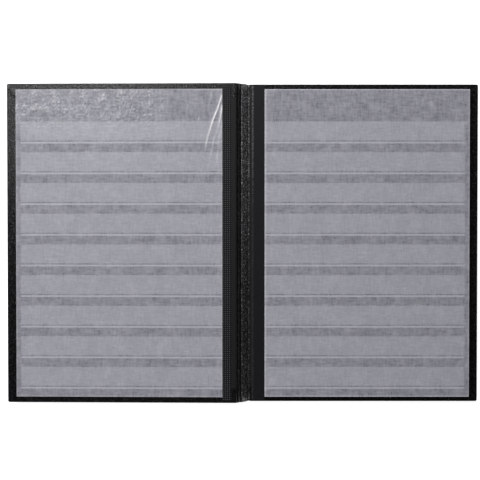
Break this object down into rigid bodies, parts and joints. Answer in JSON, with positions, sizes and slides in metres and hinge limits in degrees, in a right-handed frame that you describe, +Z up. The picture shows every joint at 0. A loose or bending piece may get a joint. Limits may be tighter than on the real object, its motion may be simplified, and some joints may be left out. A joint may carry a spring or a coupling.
{
  "type": "coin album",
  "caption": "Open coin album with a black leatherette case, strip-pocket leaves and translucent film interleaves.",
  "frame": {"origin": "centre of the bounding box of the open album, at table height", "axes": "+X across the open album from the front cover to the back cover, +Y up the page, +Z up from the table"},
  "size_m": [0.4514, 0.305, 0.0143],
  "materials": {
    "leatherette": "fine cross grain, satin",
    "greyboard": "matte",
    "black_liner": "embossed, matte",
    "black_card": "matte",
    "pocket_film": "clear matt film",
    "glassine": "translucent, soft sheen",
    "linen_cloth": "fine linen weave",
    "binding_cloth": "woven, matte"
  },
  "bodies": {
    "back_cover": {"back_board": "greyboard", "back_cover_leatherette": "leatherette", "back_cover_liner": "black_liner", "back_page_card": "black_card", "back_page_pockets": "pocket_film", "back_page_film": "glassine", "leaf_binding_stub": "binding_cloth"},
    "spine": {"spine_board": "greyboard", "spine_leatherette": "leatherette", "spine_lining": "black_liner"},
    "front_cover": {"front_board": "greyboard", "front_cover_leatherette": "leatherette", "front_cover_liner": "black_liner", "front_page_card": "black_card", "front_page_pockets": "pocket_film", "front_page_hinge_cloth": "linen_cloth"},
    "front_film": {"front_page_film": "glassine"},
    "leaf_1": {"leaf_1_card": "black_card", "leaf_1_pockets": "pocket_film", "leaf_1_hinge_cloth": "linen_cloth", "leaf_1_back_film": "glassine"},
    "leaf_2": {"leaf_2_card": "black_card", "leaf_2_pockets": "pocket_film", "leaf_2_hinge_cloth": "linen_cloth", "leaf_2_front_film": "glassine", "leaf_2_back_film": "glassine"},
    "leaf_3": {"leaf_3_card": "black_card", "leaf_3_pockets": "pocket_film", "leaf_3_hinge_cloth": "linen_cloth", "leaf_3_front_film": "glassine", "leaf_3_back_film": "glassine"},
    "leaf_4": {"leaf_4_card": "black_card", "leaf_4_pockets": "pocket_film", "leaf_4_hinge_cloth": "linen_cloth", "leaf_4_front_film": "glassine", "leaf_4_back_film": "glassine"},
    "leaf_5": {"leaf_5_card": "black_card", "leaf_5_pockets": "pocket_film", "leaf_5_hinge_cloth": "linen_cloth", "leaf_5_front_film": "glassine", "leaf_5_back_film": "glassine"},
    "leaf_6": {"leaf_6_card": "black_card", "leaf_6_pockets": "pocket_film", "leaf_6_hinge_cloth": "linen_cloth", "leaf_6_front_film": "glassine", "leaf_6_back_film": "glassine"},
    "leaf_7": {"leaf_7_card": "black_card", "leaf_7_pockets": "pocket_film", "leaf_7_hinge_cloth": "linen_cloth", "leaf_7_front_film": "glassine", "leaf_7_back_film": "glassine"},
    "leaf_8": {"leaf_8_card": "black_card", "leaf_8_pockets": "pocket_film", "leaf_8_hinge_cloth": "linen_cloth", "leaf_8_front_film": "glassine", "leaf_8_back_film": "glassine"},
    "leaf_1_film": {"leaf_1_front_film": "glassine"}
  },
  "joints": [
    {"name": "spine_fold", "type": "hinge", "parent": "back_cover", "child": "spine", "pos_m": [0.00498, 0, 0.0002], "axis": [0, 1, 0], "range_deg": [0, 42]},
    {"name": "front_cover_fold", "type": "hinge", "parent": "spine", "child": "front_cover", "pos_m": [-0.00499, 0, 0.01127], "axis": [0, 1, 0], "range_deg": [0, 139.32]},
    {"name": "front_film_lift", "type": "hinge", "parent": "front_cover", "child": "front_film", "pos_m": [-0.01986, 0, 0.01424], "axis": [0, -1, 0], "range_deg": [-8, 0]},
    {"name": "leaf_1_turn", "type": "hinge", "parent": "back_cover", "child": "leaf_1", "pos_m": [0.00863, 0, 0.01115], "axis": [0, 1, 0], "range_deg": [-158, 0]},
    {"name": "leaf_1_film_lift", "type": "hinge", "parent": "leaf_1", "child": "leaf_1_film", "pos_m": [0.02048, 0, 0.01151], "axis": [0, 1, 0], "range_deg": [-10, 0]},
    {"name": "leaf_2_turn", "type": "hinge", "parent": "back_cover", "child": "leaf_2", "pos_m": [0.01047, 0, 0.01015], "axis": [0, 1, 0], "range_deg": [-139.01, 0]},
    {"name": "leaf_3_turn", "type": "hinge", "parent": "back_cover", "child": "leaf_3", "pos_m": [0.01156, 0, 0.00915], "axis": [0, 1, 0], "range_deg": [-120.01, 0]},
    {"name": "leaf_4_turn", "type": "hinge", "parent": "back_cover", "child": "leaf_4", "pos_m": [0.01236, 0, 0.00815], "axis": [0, 1, 0], "range_deg": [-101.01, 0]},
    {"name": "leaf_5_turn", "type": "hinge", "parent": "back_cover", "child": "leaf_5", "pos_m": [0.01316, 0, 0.00715], "axis": [0, 1, 0], "range_deg": [-82.01, 0]},
    {"name": "leaf_6_turn", "type": "hinge", "parent": "back_cover", "child": "leaf_6", "pos_m": [0.01396, 0, 0.00615], "axis": [0, 1, 0], "range_deg": [-63.01, 0]},
    {"name": "leaf_7_turn", "type": "hinge", "parent": "back_cover", "child": "leaf_7", "pos_m": [0.01476, 0, 0.00515], "axis": [0, 1, 0], "range_deg": [-44.01, 0]},
    {"name": "leaf_8_turn", "type": "hinge", "parent": "back_cover", "child": "leaf_8", "pos_m": [0.01556, 0, 0.00415], "axis": [0, 1, 0], "range_deg": [-25.01, 0]}
  ],
  "couplings": [
    {"joint": "leaf_2_turn", "follows": "leaf_1_turn", "ratio": 0.87975},
    {"joint": "leaf_3_turn", "follows": "leaf_1_turn", "ratio": 0.75949},
    {"joint": "leaf_4_turn", "follows": "leaf_1_turn", "ratio": 0.63924},
    {"joint": "leaf_5_turn", "follows": "leaf_1_turn", "ratio": 0.51899},
    {"joint": "leaf_6_turn", "follows": "leaf_1_turn", "ratio": 0.39873},
    {"joint": "leaf_7_turn", "follows": "leaf_1_turn", "ratio": 0.27848},
    {"joint": "leaf_8_turn", "follows": "leaf_1_turn", "ratio": 0.15823}
  ]
}
